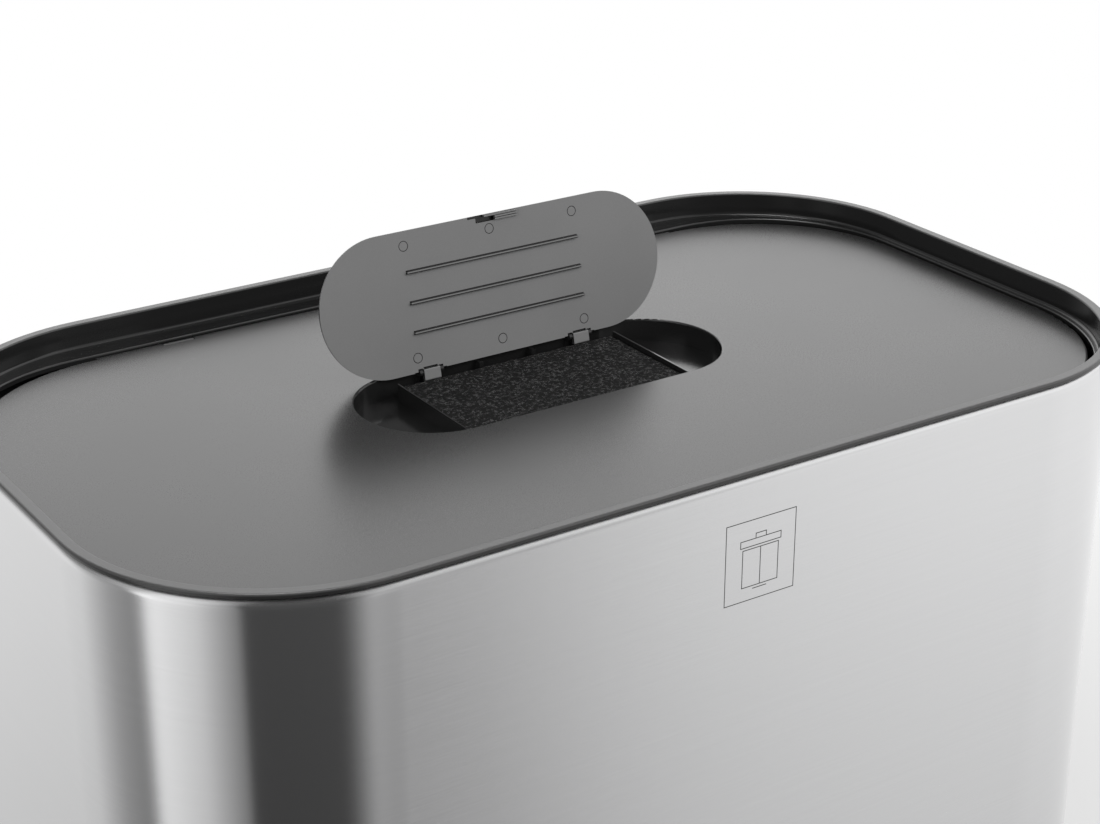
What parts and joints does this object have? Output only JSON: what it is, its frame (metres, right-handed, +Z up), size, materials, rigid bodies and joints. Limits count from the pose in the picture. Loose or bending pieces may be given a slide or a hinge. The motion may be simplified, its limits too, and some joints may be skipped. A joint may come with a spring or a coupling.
{
  "type": "dual compartment pedal bin",
  "caption": "Free-standing dual compartment pedal bin with removable inner buckets, a foot-operated lid with an odour filter under a hinged flap, and a brushed steel shell.",
  "frame": {"origin": "bottom centre of the whole bin's box, on the floor", "axes": "+Z up, +X to the right seen from the pedal side, -Y towards the pedal"},
  "size_m": [0.5066, 0.3488, 0.6501],
  "materials": {
    "black_plastic": "moulded black plastic, fine grain",
    "anthracite_plastic": "satin anthracite plastic, fine grain",
    "bucket_plastic": "grey polypropylene",
    "handle_plastic": "dark polypropylene",
    "brushed_steel": "horizontal fine brushing",
    "zinc_steel": "zinc plated steel",
    "natural_nylon": "natural nylon",
    "damper_metal": "black painted tube",
    "rubber": "soft rubber",
    "filter_foam": "carbon filter foam"
  },
  "bodies": {
    "bin": {"base_pan": "black_plastic", "base_ring": "black_plastic", "base_screws": "zinc_steel", "base_feet": "rubber", "body_shell": "brushed_steel", "pedal_surround": "black_plastic", "bucket_deck": "black_plastic", "top_frame": "anthracite_plastic", "lid_bumpers": "rubber", "mechanism_cover": "black_plastic", "rod_guides": "natural_nylon", "damper_cylinder": "damper_metal", "damper_clips": "black_plastic", "pedal_axle": "zinc_steel", "axle_clips": "zinc_steel", "pedal_bushes": "natural_nylon"},
    "lid": {"lid_panel": "anthracite_plastic", "lid_liner": "black_plastic", "liner_screws": "zinc_steel", "crank_pin": "zinc_steel", "lid_hinge_pins": "zinc_steel", "flap_hinge_pins": "zinc_steel", "filter_pad": "filter_foam"},
    "flap": {"filter_flap": "anthracite_plastic"},
    "lift": {"lift_rod": "zinc_steel", "rod_yoke": "natural_nylon", "rod_foot": "natural_nylon", "damper_arm": "zinc_steel", "damper_rod": "zinc_steel"},
    "pedal": {"pedal_lever": "zinc_steel", "pedal_pad": "black_plastic", "pedal_grips": "rubber", "pedal_screws": "zinc_steel"},
    "bucket_left": {"inner_bucket_left": "bucket_plastic"},
    "bucket_right": {"inner_bucket_right": "bucket_plastic"},
    "handle_left": {"bucket_handle_left": "handle_plastic", "handle_grip_left": "black_plastic"},
    "handle_right": {"bucket_handle_right": "handle_plastic", "handle_grip_right": "black_plastic"}
  },
  "joints": [
    {"name": "lid_open", "type": "hinge", "parent": "bin", "child": "lid", "pos_m": [0, 0.15218, 0.5849], "axis": [-1, 0, 0], "range_deg": [0, 80]},
    {"name": "flap_close", "type": "hinge", "parent": "lid", "child": "flap", "pos_m": [0, 0.06028, 0.5869], "axis": [1, 0, 0], "range_deg": [0, 102.4]},
    {"name": "rod_lift", "type": "slide", "parent": "bin", "child": "lift", "axis": [0, 0, 1], "range_m": [0, 0.03862]},
    {"name": "pedal_press", "type": "hinge", "parent": "bin", "child": "pedal", "pos_m": [0, -0.03562, 0.034], "axis": [1, 0, 0], "range_deg": [0, 13.75]},
    {"name": "bucket_left_lift", "type": "slide", "parent": "bin", "child": "bucket_left", "axis": [0, 0, 1], "range_m": [0, 0.01]},
    {"name": "handle_left_raise", "type": "hinge", "parent": "bucket_left", "child": "handle_left", "pos_m": [0, -0.00162, 0.529], "axis": [-1, 0, 0], "range_deg": [0, 12]},
    {"name": "bucket_right_lift", "type": "slide", "parent": "bin", "child": "bucket_right", "axis": [0, 0, 1], "range_m": [0, 0.01]},
    {"name": "handle_right_raise", "type": "hinge", "parent": "bucket_right", "child": "handle_right", "pos_m": [0, -0.00162, 0.529], "axis": [-1, 0, 0], "range_deg": [0, 12]}
  ],
  "couplings": [
    {"joint": "rod_lift", "follows": "lid_open", "m_per_rad": 0.027622},
    {"joint": "pedal_press", "follows": "lid_open", "ratio": 0.17164}
  ]
}
